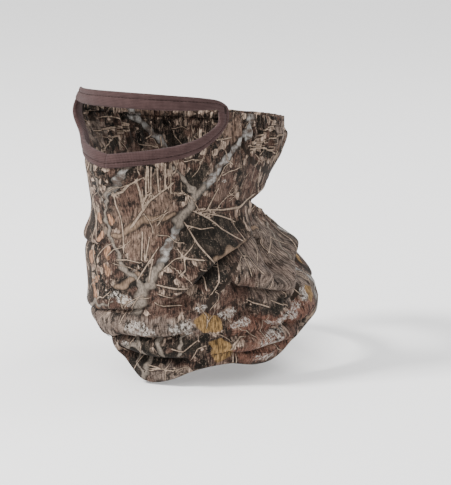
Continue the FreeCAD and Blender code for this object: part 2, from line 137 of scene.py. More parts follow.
# Ridges: line of (angle, height) points, rise, width.
RIDGES = (
    (((-60, -166), (-20, -166), (-6, -163), (7, -161), (20, -159), (33, -156)), 4.5, 8),
    (((-10, -184), (0, -181), (15, -181), (30, -180), (42, -177)), 4, 7),
    (((4, -204), (20, -203), (34, -200)), 5, 8),
    (((36, -98), (50, -96), (66, -95), (85, -93)), 3, 7),
    (((34, -150), (46, -127), (56, -116), (68, -110)), 10, 8.5),
    (((66, -108), (66, -120), (74, -127), (81, -133), (82, -139)), 7, 4),
    (((81, -152), (82.5, -140), (85.5, -128), (93, -117), (106, -110), (124, -103)), 11, 6),
    (((108, -138), (112, -144), (112, -152)), 2, 12),
    (((42, -180), (52, -178), (64, -176), (75, -175.5), (94, -179)), 4.5, 4.5),
    (((-60, -92), (-30, -93), (-18, -92)), 1.5, 8),
    (((52, -192), (66, -193), (80, -190)), 3, 5),
    (((-88, -124), (-70, -128), (-56, -138)), 6, 8),
    (((-150, -142), (-130, -140), (-110, -144)), 5, 8),
)

# Hollows: angle, height, depth, half width and half height in millimetres.
HOLLOWS = (
    (62, -86, 4, 13, 6),
    (78, -113, 9, 5, 12),
    (84, -166, 9, 7, 9),
    (92, -157, 7, 7, 9),
    (50, -153, 5, 14, 8),
    (110, -126, 12, 28, 12),
)


def smooth_value(stations, place):
    """Values at places, on a cubic through (place, value) stations in rising order."""
    table = np.asarray(stations, float)
    xs, ys = table[:, 0], table[:, 1]
    last = len(xs) - 1
    place = np.clip(np.asarray(place, float), xs[0], xs[-1])
    index = np.clip(np.searchsorted(xs, place, side="left") - 1, 0, last - 1)
    before, after = np.maximum(np.arange(last + 1) - 1, 0), np.minimum(np.arange(last + 1) + 1, last)
    slope = (ys[after] - ys[before]) / (xs[after] - xs[before])
    span = xs[index + 1] - xs[index]
    share = (place - xs[index]) / span
    swell = share * share * (3 - 2 * share)
    lift = share * (1 - share) ** 2 * slope[index] - share ** 2 * (1 - share) * slope[index + 1]
    return ys[index] + (ys[index + 1] - ys[index]) * swell + span * lift


def wrapped(angle):
    """The same direction as an angle from -180 to 180."""
    return (np.asarray(angle, float) + 180) % 360 - 180


def bell(value, middle, spread):
    return np.exp(-((value - middle) / spread) ** 2)


def ease(low, high, value):
    """Smooth rise from 0 at low to 1 at high."""
    share = np.clip((value - low) / (high - low), 0, 1)
    return share * share * (3 - 2 * share)


def reach(angle, height):
    """Distance from the axis of the head to the smooth tube."""
    turn = np.radians(angle)
    side, ahead = np.sin(turn), np.cos(turn)
    front, back, left, right = (smooth_value(LEVELS[:, (0, k)], height) for k in (1, 2, 3, 4))
    wide, deep = np.where(side >= 0, left, right), np.where(ahead >= 0, front, back)
    out = (np.abs(side / wide) ** SQUARENESS + np.abs(ahead / deep) ** SQUARENESS) ** (-1 / SQUARENESS)
    for rise, middle, spread, level, tall in (NOSE, TEMPLE_GAP, CHIN_TUCK):
        out = out + rise * bell(angle, middle, spread) * bell(height, level, tall)
    return out


def beside(rel_x, rel_y, way_x, way_y):
    """Distance from a straight stretch, its side (1 left, -1 right) and the share of it passed.

    The place is relative to the start of the stretch, and the way leads to its end."""
    along = np.clip((rel_x * way_x + rel_y * way_y) / (way_x ** 2 + way_y ** 2), 0, 1)
    gap = np.hypot(rel_x - along * way_x, rel_y - along * way_y)
    return gap, np.where(way_x * rel_y - way_y * rel_x >= 0, 1.0, -1.0), along


def nearest_on_line(line, across, up):
    """Signed distance to a line of points, its direction there, and the share along it."""
    points = np.array([(angle * ARC, height) for angle, height in line], float)
    lengths = np.linalg.norm(np.diff(points, axis=0), axis=1)
    total, run = lengths.sum(), 0.0
    best = np.full(across.shape, 1e9)
    found = np.zeros((4, *across.shape))
    for start, end, length in zip(points[:-1], points[1:], lengths):
        way = end - start
        gap, side, along = beside(across - start[0], up - start[1], *way)
        here = (gap * side, way[0] / length, way[1] / length, (run + along * length) / total)
        for kept, value in zip(found, here):
            np.copyto(kept, value, where=gap < best)
        best = np.minimum(gap, best)
        run += length
    return found


def fade_ends(share, part=0.16):
    return ease(0, part, share) * ease(0, part, 1 - share)


def gathers(angle, height):
    """Small upright puckers below the elastic, below the eye binding and at the nape opening."""
    size = np.abs(angle)
    pleat = 1 - 1.8 * np.sqrt(np.sin(size * 0.46 + 0.7 * np.sin(size * 0.23)) ** 2 + 0.06)
    wave = -pleat + 0.4 * np.sin(size * 1.63 + 1.0)
    below = smooth_value(TOP_EDGE, angle) - height
    back = ease(54, 66, size) * (0.3 + 0.7 * ease(8, 15, below)) * (1 - ease(16, 46, below))
    rim = smooth_value(LOWER_RIM, angle) - RIM_BAND - height
    fine = np.sin(angle * 1.75 + np.sin(angle * 0.5)) + 0.6 * np.sin(angle * 2.9 + 2.0)
    front = (1 - ease(34, 48, size)) * ease(-1, 2, rim) * (1 - ease(3, 20, rim))
    nape = bell(height, smooth_value(NAPE_FOOT, size) - 9, 9) * ease(NAPE_TIP - 4, NAPE_TIP + 12, size)
    return PUCKER_BACK * wave * back + PUCKER_RIM * fine * front + PUCKER_NAPE * wave * nape


def slack(angle, height):
    """Broad shallow unevenness of the knit."""
    across = angle * ARC
    value = np.sin(across / 23 + height / 31 + 0.7) * np.sin(height / 17 - across / 41)
    value = value + 0.6 * np.sin(across / 11 - height / 19 + 2.1) * np.sin(height / 13 + across / 29)
    calm = 0.35 + 0.65 * (1 - ease(-110, -60, height))
    return 0.9 * value * calm


def folded(angle, height):
    """Where the folds take each place: angle, height, and how far out of the smooth tube."""
    lower_side, sharpness, lip_reach = 2.2, 1.25, 1.6
    angle, height = np.broadcast_arrays(np.asarray(angle, float), np.asarray(height, float))
    across, up = angle * ARC, height
    out = gathers(angle, height) + slack(angle, height)
    shift_x, shift_y = np.zeros_like(out), np.zeros_like(out)
    for line, depth, width, lip, lip_width, droop in CREASES:
        signed, way_x, way_y, share = nearest_on_line(line, across, up)
        ends = fade_ends(share)
        reaches = np.where(signed > 0, width, lower_side * width)
        out = out - ends * depth * np.exp(-(np.abs(signed) / reaches) ** sharpness)
        upper = ease(-1, 1.5, signed)
        out = out + ends * lip * upper * bell(np.maximum(signed, 0), 0, lip_reach * lip_width)
        slide = ends * droop * bell(signed, 1.5, lip_width) * upper
        shift_x, shift_y = shift_x + slide * way_y, shift_y - slide * way_x
    for line, rise, width in RIDGES:
        signed, way_x, way_y, share = nearest_on_line(line, across, up)
        out = out + fade_ends(share, 0.3) * rise * bell(signed, 0, width)
    for middle, level, depth, wide, tall in HOLLOWS:
        out = out - depth * bell(across, middle * ARC, wide) * bell(up, level, tall)
    return angle + shift_x / ARC, height + shift_y, out


def edge_calm(angle, height):
    """0 where cloth is held flat by a binding or the elastic, 1 where it is free."""
    size = np.abs(angle)
    rim = smooth_value(LOWER_RIM, angle) - RIM_BAND - height
    held = (1 - ease(-1, 6, rim)) * (1 - ease(SIDE_FRONT + 4, SIDE_FRONT + 12, size))
    return 1 - held


def worn(angle, height, offset=0.0):
    """Points of the folded cloth in millimetres, an offset outward from its inner side."""
    angle, height = np.broadcast_arrays(wrapped(angle), np.asarray(height, float))
    turn, level, out = folded(angle, height)
    free = edge_calm(angle, height)
    turn, level = angle + (turn - angle) * free, height + (level - height) * free
    far = reach(turn, level) + out * free + offset
    radians = np.radians(turn)
    return np.stack([far * np.sin(radians), -far * np.cos(radians), level], axis=-1)


def new_object(name, points, faces):
    """Smooth mesh object from points in millimetres."""
    mesh = bpy.data.meshes.new(name)
    mesh.from_pydata((np.asarray(points) * MM).tolist(), [], faces)
    mesh.update()
    mesh.polygons.foreach_set("use_smooth", [True] * len(mesh.polygons))
    piece = bpy.data.objects.new(name, mesh)
    bpy.context.scene.collection.objects.link(piece)
    return piece


def add_print(piece, across, up):
    """Keep each point's place on the flat printed cloth, in centimetres."""
    layer = piece.data.attributes.new("print", "FLOAT_VECTOR", "POINT")
    place = np.stack([np.ravel(across) / 10, np.ravel(up) / 10, np.zeros(np.size(up))], axis=-1)
    layer.data.foreach_set("vector", place.astype(np.float32).ravel())


def grid_faces(rows, columns, index):
    """Quads between neighbouring rows and columns of a table of point numbers."""
    faces = []
    for row in range(rows - 1):
        a, b = index[row], index[row + 1]
        for k in range(columns - 1):
            faces.append((a[k], a[k + 1], b[k + 1], b[k]))
    return faces


def panel_columns():
    """Columns of the cloth's mesh, counted in degrees from the nose, closer together at the front.

    At each end of the eye opening the columns climb its upright edge, which takes RISE more degrees."""
    fine, fine_left, fine_right = 0.84, 124, 76
    coarse_left, coarse_right = 42, 72
    end = 180 + RISE
    left = np.concatenate([np.arange(0, fine_left, fine), np.linspace(fine_left, end, coarse_left)])
    right = np.concatenate([np.arange(fine, fine_right, fine), np.linspace(fine_right, end, coarse_right)])
    return np.concatenate([-right[::-1], left])


def panel_grid():
    """Angles and heights of the mesh: the part below the nape opening and the part above it."""
    units = panel_columns()
    size, sign = np.abs(units), np.sign(units)
    turn = np.where(size < SIDE_FRONT, size, np.clip(size - RISE, SIDE_FRONT, 180))
    climb = np.clip((size - SIDE_FRONT) / RISE, 0, 1)
    fold = 1.2
    rim = smooth_value(LOWER_RIM, sign * turn) - fold
    top = rim + (smooth_value(TOP_EDGE, sign * turn) - rim) * climb
    middle = size * 180 / (180 + RISE)
    tip = (NAPE_TOP[0][1] + NAPE_FOOT[0][1]) / 2
    opened = middle > NAPE_TIP
    waist_low = np.where(opened, smooth_value(NAPE_FOOT, middle), tip)
    waist_high = np.where(opened, smooth_value(NAPE_TOP, middle), tip)
    bottom = smooth_value(BOTTOM_EDGE, sign * middle)
    below, above = 135, 58
    low_rows, high_rows = (np.linspace(0, 1, int(tall / STEP))[:, None] for tall in (below, above))
    low = (sign * middle + 0 * low_rows, bottom + (waist_low - bottom) * low_rows)
    high = (sign * (middle + (turn - middle) * high_rows ** 1.4),
            waist_high + (top - waist_high) * high_rows)
    return low, high, opened


def make_cloth():
    """The camouflage panel as one thin closed cloth, joined at the back, with its openings."""
    low, high, opened = panel_grid()
    rows_low, columns = low[0].shape
    rows_high = high[0].shape[0]
    index = np.arange((rows_low + rows_high) * columns).reshape(rows_low + rows_high, columns)
    upper = index[rows_low:].copy()
    upper[0] = np.where(opened, upper[0], index[rows_low - 1])
    angle, height = np.vstack([low[0], high[0]]), np.vstack([low[1], high[1]])
    points = worn(angle, height, CLOTH).reshape(-1, 3)
    faces = grid_faces(rows_low, columns, index[:rows_low]) + grid_faces(rows_high, columns, upper)
    used = np.zeros(len(points), bool)
    used[np.unique(np.array(faces).ravel())] = True
    number = np.cumsum(used) - 1
    faces = [tuple(int(number[k]) for k in face) for face in faces]
    piece = new_object("camo_cloth", points[used], faces)
    across, up = (angle * ARC).ravel()[used], height.ravel()[used]
    add_print(piece, across, up)
    add_pattern(piece, across, up)
    thick = piece.modifiers.new("cloth", "SOLIDIFY")
    thick.thickness = CLOTH * MM
    thick.offset = -1
    return piece


def laid(angle, height, offset):
    """Points an offset outward from the folded cloth's inner side, square to the cloth."""
    angle, height, offset = np.broadcast_arrays(*(np.asarray(v, float) for v in (angle, height, offset)))
    step = 0.5
    base = worn(angle, height)
    across = worn(angle + step / ARC, height) - worn(angle - step / ARC, height)
    up = worn(angle, height + step) - worn(angle, height - step)
    out = np.cross(across, up)
    out = out / np.linalg.norm(out, axis=-1, keepdims=True)
    return base + out * offset[..., None]


def tube_faces(stations, count, first=0):
    """Faces of a tube through rings of points, closed at both ends. Its points count from first."""
    rings = (first + np.arange(stations * count).reshape(stations, count)).tolist()
    closed = [ring + ring[:1] for ring in rings]
    return grid_faces(stations, count + 1, closed) + [rings[0][::-1], rings[-1]]


def tube_object(name, rings):
    """Closed tube through rings of points: rings has shape (stations, points round, 3)."""
    return new_object(name, rings.reshape(-1, 3), tube_faces(*rings.shape[:2]))


def even_points(points, step):
    """Points at an even step along a smooth line through control points."""
    points = np.asarray(points, float)
    place = np.arange(len(points))
    fine = np.linspace(0, len(points) - 1, 40 * len(points))
    smooth = np.stack([smooth_value(np.stack([place, points[:, k]], 1), fine)
                       for k in range(points.shape[1])], axis=1)
    run = np.concatenate([[0], np.cumsum(np.linalg.norm(np.diff(smooth, axis=0), axis=1))])
    even = np.linspace(0, run[-1], max(2, int(run[-1] / step)))
    return np.stack([np.interp(even, run, smooth[:, k]) for k in range(points.shape[1])], axis=1)


# Sections of the soft pieces: (share of the width, offset in millimetres) pairs round the section.
FOLDED_BAND = (
    (0.00, 0.3), (0.015, 1.5), (0.06, 2.4), (0.15, 2.9), (0.35, 3.1), (0.55, 2.9), (0.63, 2.6), (0.67, 1.9),
    (0.71, 2.5), (0.80, 2.7), (0.92, 2.5), (0.985, 2.0), (1.00, 1.1), (0.99, 0.9), (0.7, 0.85), (0.3, 0.75),
    (0.12, 0.2), (0.3, -0.5), (0.7, -0.6), (0.98, -0.6), (1.00, -1.0), (0.97, -1.5), (0.6, -1.8),
    (0.2, -1.7), (0.04, -0.9),
)
CORD_BAND = (
    (0.00, 1.2), (0.015, 2.1), (0.06, 2.7), (0.2, 3.0), (0.45, 3.0), (0.60, 2.8), (0.65, 2.1), (0.70, 2.7),
    (0.85, 2.7), (0.95, 2.4), (0.99, 1.9), (1.00, 1.2), (0.98, 0.5), (0.9, 0.2), (0.5, 0.0), (0.1, 0.2),
    (0.02, 0.6),
)
INNER_FOLD = (
    (0.0, -0.3), (0.5, -0.25), (0.97, -0.3), (1.0, -0.6), (0.97, -0.95), (0.5, -1.0), (0.03, -0.95),
)
RIBBON = (
    (0.0, -0.5), (0.25, -0.4), (0.5, -0.35), (0.75, -0.4), (1.0, -0.5), (0.97, -1.4), (0.5, -1.5),
    (0.03, -1.4),
)
INNER_LAYER = (
    (0.0, -1.8), (0.5, -1.75), (0.97, -1.8), (1.0, -2.1), (0.97, -2.5), (0.5, -2.55), (0.03, -2.5),
)
SEAM_RIDGE = (
    (0.0, -0.9), (0.0, -3.4), (0.25, -4.1), (0.75, -4.1), (1.0, -3.4), (1.0, -0.9), (0.5, -0.6),
)

# Edges of the bands as (angle, height), the inner edge at the eye opening, the outer away from it.
RIM_LEFT_INNER = ((0, -22), (8, -19.8), (17, -17.8), (28, -15), (38, -10.5), (45, -5), (49.3, -0.5),
                  (50.4, 3), (50.4, 9.5))
RIM_LEFT_OUTER = ((0, -33), (8.5, -31), (18, -29), (29.5, -26), (39, -21), (47, -13), (53, -5),
                  (56.2, 2), (56.8, 9.5))
RIM_RIGHT_INNER = ((0, -22), (-8, -19.8), (-17, -18.5), (-28, -17.5), (-39, -15.5), (-46, -11),
                   (-49.5, -5), (-50.4, 2), (-50.4, 9.5))
RIM_RIGHT_OUTER = ((0, -33), (-8.5, -31), (-18, -29.8), (-29, -29), (-41, -27.5), (-50, -22),
                   (-55.5, -11), (-57.4, 0), (-57.8, 9.5))
STRAP_INNER = (
    (-50.4, 9.2), (-50.2, 11), (-48.5, 12), (-41, 12), (-29, 12.3), (-14, 13.6), (0, 14.2), (15, 13.7),
    (30, 12.8), (41, 12.2), (47.2, 12), (49.6, 11), (50.4, 9.2),
)
STRAP_OUTER = (
    (-57.8, 9.2), (-57, 13.5), (-53.5, 18.5), (-45, 22.8), (-29, 25.2), (-14, 26.8), (0, 27.4), (15, 26.8),
    (30, 24.6), (41, 22.2), (50, 19.2), (55.6, 14), (56.8, 9.2),
)


def band_between(name, inner, outer, section):
    """Soft band on the cloth between two edges, each a list of (angle, height) control points."""
    scale = np.array((ARC, 1, ARC, 1))
    edges = np.concatenate([np.asarray(inner, float), np.asarray(outer, float)], axis=1)
    path = even_points(edges * scale, BAND_STEP) / scale
    share, offset = np.array(section).T
    angle = path[:, :1] + (path[:, 2:3] - path[:, :1]) * share
    height = path[:, 1:2] + (path[:, 3:4] - path[:, 1:2]) * share
    piece = tube_object(name, laid(angle, height, offset))
    add_print(piece, angle * ARC, height)
    return piece


def edge_band(name, angles, low, high, section):
    """Band along the cloth between two heights, given as functions of the angle."""
    angle = np.asarray(angles, float)[:, None]
    share, offset = np.array(section).T
    height = low(angle) + (high(angle) - low(angle)) * share
    piece = tube_object(name, laid(angle, height, offset))
    across = np.broadcast_to(angle * ARC, height.shape)
    add_print(piece, across, height)
    add_pattern(piece, across, height)
    return piece


def stitches(name, path, offset, pitch, length, lean=0.0):
    """Row of small rounded stitches along a path of (angle, height) points on the cloth."""
    scale = np.array((ARC, 1))
    line = even_points(np.asarray(path, float) * scale, pitch)
    ahead = np.gradient(line, axis=0)
    ahead = ahead / np.linalg.norm(ahead, axis=1, keepdims=True)
    beside = np.stack([-ahead[:, 1], ahead[:, 0]], axis=1)
    sign = np.where(np.arange(len(line)) % 2, 1, -1)[:, None]
    start = line - ahead * length / 2 - beside * lean * sign
    end = line + ahead * length / 2 + beside * lean * sign
    shares = np.array((0, 0.12, 0.5, 0.88, 1))
    stand = np.array((-0.45, -0.05, 0.08, -0.05, -0.45))
    points = start[:, None] + (end - start)[:, None] * shares[:, None]
    return threads(name, laid(points[..., 0] / ARC, points[..., 1], offset + stand))


def threads(name, middle):
    """Short threads, each through a row of five points: middle has shape (threads, points, 3)."""
    along = middle[:, -1] - middle[:, 0]
    along = along / np.linalg.norm(along, axis=1, keepdims=True)
    out = middle[:, 2] - (middle[:, 0] + middle[:, -1]) / 2
    out = out - along * np.sum(out * along, axis=1, keepdims=True)
    out = out / np.linalg.norm(out, axis=1, keepdims=True)
    side = np.cross(along, out)
    count, places = middle.shape[:2]
    rounds = 6
    turn = (np.arange(rounds) / rounds * 2 * np.pi)[:, None]
    ring = THREAD / 2 * (np.cos(turn) * out[:, None, None] + np.sin(turn) * side[:, None, None])
    points = middle[:, :, None] + ring
    faces = []
    for number in range(count):
        faces += tube_faces(places, rounds, number * places * rounds)
    return new_object(name, points.reshape(-1, 3), faces)


def between(inner, outer, share):
    """Line of control points a share of the way from one edge to the other."""
    return [(a + (c - a) * share, b + (d - b) * share) for (a, b), (c, d) in zip(inner, outer)]


def edge_line(edge, rise):
    """Height as a function of the angle: an edge of the cloth, raised by some millimetres."""
    both_sides = edge[0][0] > 0

    def height(angle):
        turn = wrapped(angle)
        return smooth_value(edge, np.abs(turn) if both_sides else turn) + rise

    return height


def finish_piece(piece, material, nodes, body="mask"):
    """Material, body and the CAD nodes a piece replaces, which are hidden. No body: the piece runs from mask
    to strap, and its place is baked into its mesh.
    """
    piece.data.materials.append(material)
    if body:
        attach(piece, body)
    else:
        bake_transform(piece)
    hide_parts(*nodes)
    return piece


def make_bands(knit, thread):
    """Folded bindings round the eye opening and the strap across the brow, with their stitching."""
    rims = {"left": (RIM_LEFT_INNER, RIM_LEFT_OUTER), "right": (RIM_RIGHT_OUTER, RIM_RIGHT_INNER)}
    for side, (inner, outer) in rims.items():
        section = FOLDED_BAND if side == "left" else [(1 - share, offset) for share, offset in FOLDED_BAND]
        band = band_between("eye_rim_" + side, inner, outer, section)
        finish_piece(band, knit, ("eye_binding_lower_" + side, "eye_binding_side_" + side))
    strap = band_between("brow_band", STRAP_INNER, STRAP_OUTER, CORD_BAND)
    finish_piece(strap, knit, ("brow_strap",), body=None)
    right = between(RIM_RIGHT_INNER, RIM_RIGHT_OUTER, RIM_GROOVE)
    left = between(RIM_LEFT_INNER, RIM_LEFT_OUTER, RIM_GROOVE)
    sewing = stitches("rim_thread", right[::-1] + left[1:], RIM_SEWING, PITCH, STITCH)
    finish_piece(sewing, thread, ("eye_binding_stitching",))
    row = between(STRAP_INNER, STRAP_OUTER, STRAP_GROOVE)[1:-1]
    sewing = stitches("brow_thread", row, STRAP_SEWING, PITCH, STITCH)
    finish_piece(sewing, thread, ("brow_strap_stitching",), body=None)
    for side, angle in (("left", 53.6), ("right", -54)):
        tack = stitches("tack_thread_" + side, ((angle, 8), (angle, 13)), TACK_SEWING, TACK_PITCH,
                        TACK_STITCH, TACK_LEAN)
        finish_piece(tack, thread, ("bar_tack_" + side,), body=None)


def even_angles(start, end, step):
    """Angles from start to end, about a step apart."""
    return np.linspace(start, end, round((end - start) / step) + 1)


def make_linings(camo, elastic):
    """Turned casing with its elastic, turned hems and the overlocked back seam, all inside the cloth."""
    start, tip, half_turn = 61, NAPE_TIP + 6, 179.95
    casing, elastic_low, elastic_high, hem, nape_hem, margin = 9, 7.5, 1.5, 12, 8, 0.3
    round_back = even_angles(start, 360 - start, 1.0)
    ribbon = edge_band("back_elastic_band", round_back, edge_line(TOP_EDGE, -elastic_low),
                       edge_line(TOP_EDGE, -elastic_high), RIBBON)
    pieces = [finish_piece(ribbon, elastic, ("back_elastic",))]
    casing_line, nape_line = even_angles(start, half_turn, 1.2), even_angles(tip, half_turn, 1.2)
    layers = (
        ("casing_fold_", "back_casing_", casing_line, TOP_EDGE, -casing, -margin, INNER_LAYER),
        ("nape_fold_upper_", "nape_hem_upper_", nape_line, NAPE_TOP, margin, nape_hem, INNER_FOLD),
        ("nape_fold_lower_", "nape_hem_lower_", nape_line, NAPE_FOOT, -nape_hem, -margin, INNER_FOLD),
    )
    for side, sign in (("left", 1), ("right", -1)):
        for name, node, line, edge, low, high, section in layers:
            layer = edge_band(name + side, sign * line, edge_line(edge, low), edge_line(edge, high), section)
            pieces.append(finish_piece(layer, camo, (node + side,)))
    hem_fold = edge_band("bottom_fold", even_angles(-half_turn, half_turn, 1.0),
                         edge_line(BOTTOM_EDGE, margin), edge_line(BOTTOM_EDGE, hem), INNER_FOLD)
    pieces.append(finish_piece(hem_fold, camo, ("bottom_hem",)))
    seams = (("upper", edge_line(TOP_EDGE, -casing - 1), edge_line(NAPE_TOP, nape_hem + 1)),
             ("lower", edge_line(NAPE_FOOT, -nape_hem - 1), edge_line(BOTTOM_EDGE, hem + 1)))
    for name, high, low in seams:
        inner, outer = (((angle, high(180)), (angle, low(180))) for angle in (179.1, 180.9))
        ridge = band_between("back_ridge_" + name, inner, outer, SEAM_RIDGE)
        pieces.append(finish_piece(ridge, camo, ("back_seam_" + name,)))
    return pieces


def edge_row(start, end, edge, rise):
    """Path of (angle, height) points along an edge of the cloth, raised by some millimetres."""
    height = edge_line(edge, rise)
    return [(angle, float(height(angle))) for angle in np.linspace(start, end, 90)]


def make_stitching(thread):
    """Rows of stitches that hold the casing and the hems."""
    start, tip, half_turn = 62, NAPE_TIP + 8, 179
    casing, hem, nape_hem = 8, 10.5, 6.5
    rows = (
        ("casing_thread", "casing_stitching", [edge_row(start, 360 - start, TOP_EDGE, -casing)]),
        ("bottom_thread", "bottom_hem_stitching", [edge_row(-half_turn, half_turn, BOTTOM_EDGE, hem)]),
        ("nape_thread", "nape_stitching",
         [edge_row(tip, 360 - tip, NAPE_TOP, nape_hem), edge_row(tip, 360 - tip, NAPE_FOOT, -nape_hem)]),
    )
    for name, node, paths in rows:
        sewing = stitches(name, paths[0], HEM_SEWING, PITCH, HEM_STITCH)
        for extra in paths[1:]:
            join_meshes(sewing, stitches(name + "_more", extra, HEM_SEWING, PITCH, HEM_STITCH))
        finish_piece(sewing, thread, (node,))


def join_meshes(first, second):
    """Move the second object's mesh into the first."""
    with bpy.context.temp_override(active_object=first, selected_editable_objects=[first, second]):
        bpy.ops.object.join()


def make_label(material):
    """Blank care label, a soft folded tape that hangs beside the back seam."""
    low, high = (np.array(corner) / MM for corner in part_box("care_label"))
    rows, columns, curl_depth = 14, 10, 1.6
    across, share = np.meshgrid(np.linspace(0, 1, columns), np.linspace(0, 1, rows))
    x = low[0] + (high[0] - low[0]) * across
    y = high[1] + (low[1] - high[1]) * share - curl_depth * share ** 2 * np.sin(across * 2.6 + 0.4)
    z = high[2] + (low[2] - high[2]) * share
    index = np.arange(rows * columns).reshape(rows, columns).tolist()
    points = np.stack([x, y, z], axis=-1).reshape(-1, 3)
    label = new_object("care_label_tape", points, grid_faces(rows, columns, index))
    add_print(label, x, z)
    thick = label.modifiers.new("tape", "SOLIDIFY")
    thick.thickness = 0.4 * MM
    finish_piece(label, material, ("care_label",))


# The print is a woodland of the maker's own, in centimetres on the flat cloth, repeating sideways.
PRINT_LEFT, PRINT_RIGHT = -8.0, 21.9

# Limbs and twigs as lines of (across, up, half width) points; one dark line is painted shadow beside a fold.
BIRCH = (
    ((12.3, 0.6, 0.26), (12.2, -0.9, 0.24), (11.8, -1.6, 0.16)),
    ((13.5, 0.8, 0.34), (11.3, -1.4, 0.32), (10.0, -2.2, 0.36), (7.2, -4.8, 0.40), (6.2, -5.9, 0.36)),
    ((5.1, -7.4, 0.32), (4.7, -7.9, 0.36), (4.0, -9.8, 0.34), (3.0, -11.9, 0.34)),
    ((-0.9, -6.4, 0.14), (0.4, -4.7, 0.22), (1.0, -3.8, 0.28), (1.8, -2.6, 0.28)),
    ((-7.2, -2.5, 0.26), (-6.2, -6.0, 0.32), (-6.6, -9.5, 0.34), (-5.9, -13.0, 0.38)),
    ((18.2, -9.4, 0.24), (18.9, -12.4, 0.30), (18.5, -15.8, 0.34), (19.3, -18.6, 0.36)),
)
PALE_LIMBS = (
    ((6.9, -5.1, 0.30), (5.7, -6.5, 0.38), (4.6, -8.1, 0.34)),
    ((3.4, -11.1, 0.30), (2.2, -13.4, 0.42), (1.5, -15.2, 0.50)),
    ((0.5, -4.6, 0.14), (-0.6, -5.8, 0.15), (-1.2, -7.9, 0.16), (-0.7, -9.4, 0.18), (0.3, -11.4, 0.2),
     (1.2, -12.2, 0.22), (2.2, -13.3, 0.22)),
    ((-1.7, -3.1, 0.09), (-1.0, -4.6, 0.1), (-1.2, -6.3, 0.08)),
    ((4.4, -3.2, 0.12), (5.1, -4.3, 0.16), (6.3, -5.9, 0.18)),
    ((0.3, -18.4, 0.08), (1.3, -18.0, 0.14), (2.0, -18.9, 0.14), (2.5, -19.1, 0.1)),
    ((2.5, -19.2, 0.16), (2.1, -20.3, 0.26), (1.6, -21.6, 0.26)),
    ((1.1, -19.2, 0.14), (1.7, -20.7, 0.12)),
    ((1.4, -17.2, 0.16), (2.0, -18.9, 0.09)),
    ((3.2, -16.9, 0.2), (3.5, -18.9, 0.18)),
    ((5.3, -16.9, 0.05), (4.6, -18.6, 0.14)),
    ((-4.4, -15.9, 0.16), (-2.6, -14.9, 0.12), (-0.4, -14.6, 0.06)),
    ((20.9, -4.2, 0.12), (17.6, -6.9, 0.14), (15.2, -11.8, 0.1)),
)
TAN_LIMBS = (
    ((-0.4, -9.3, 0.16), (0.8, -8.5, 0.3), (2.0, -7.8, 0.3), (3.2, -7.4, 0.24), (4.5, -7.4, 0.18)),
    ((7.0, -10.5, 0.26), (8.6, -9.9, 0.36), (10.4, -9.6, 0.34), (12.6, -9.4, 0.26), (14.2, -9.2, 0.12)),
    ((0.1, -13.4, 0.3), (1.0, -12.7, 0.3), (2.0, -12.0, 0.12)),
    ((-7.4, -16.4, 0.3), (-4.6, -17.6, 0.34), (-1.8, -17.2, 0.2)),
    ((16.4, -17.2, 0.2), (19.0, -17.0, 0.3), (21.4, -16.2, 0.24)),
)
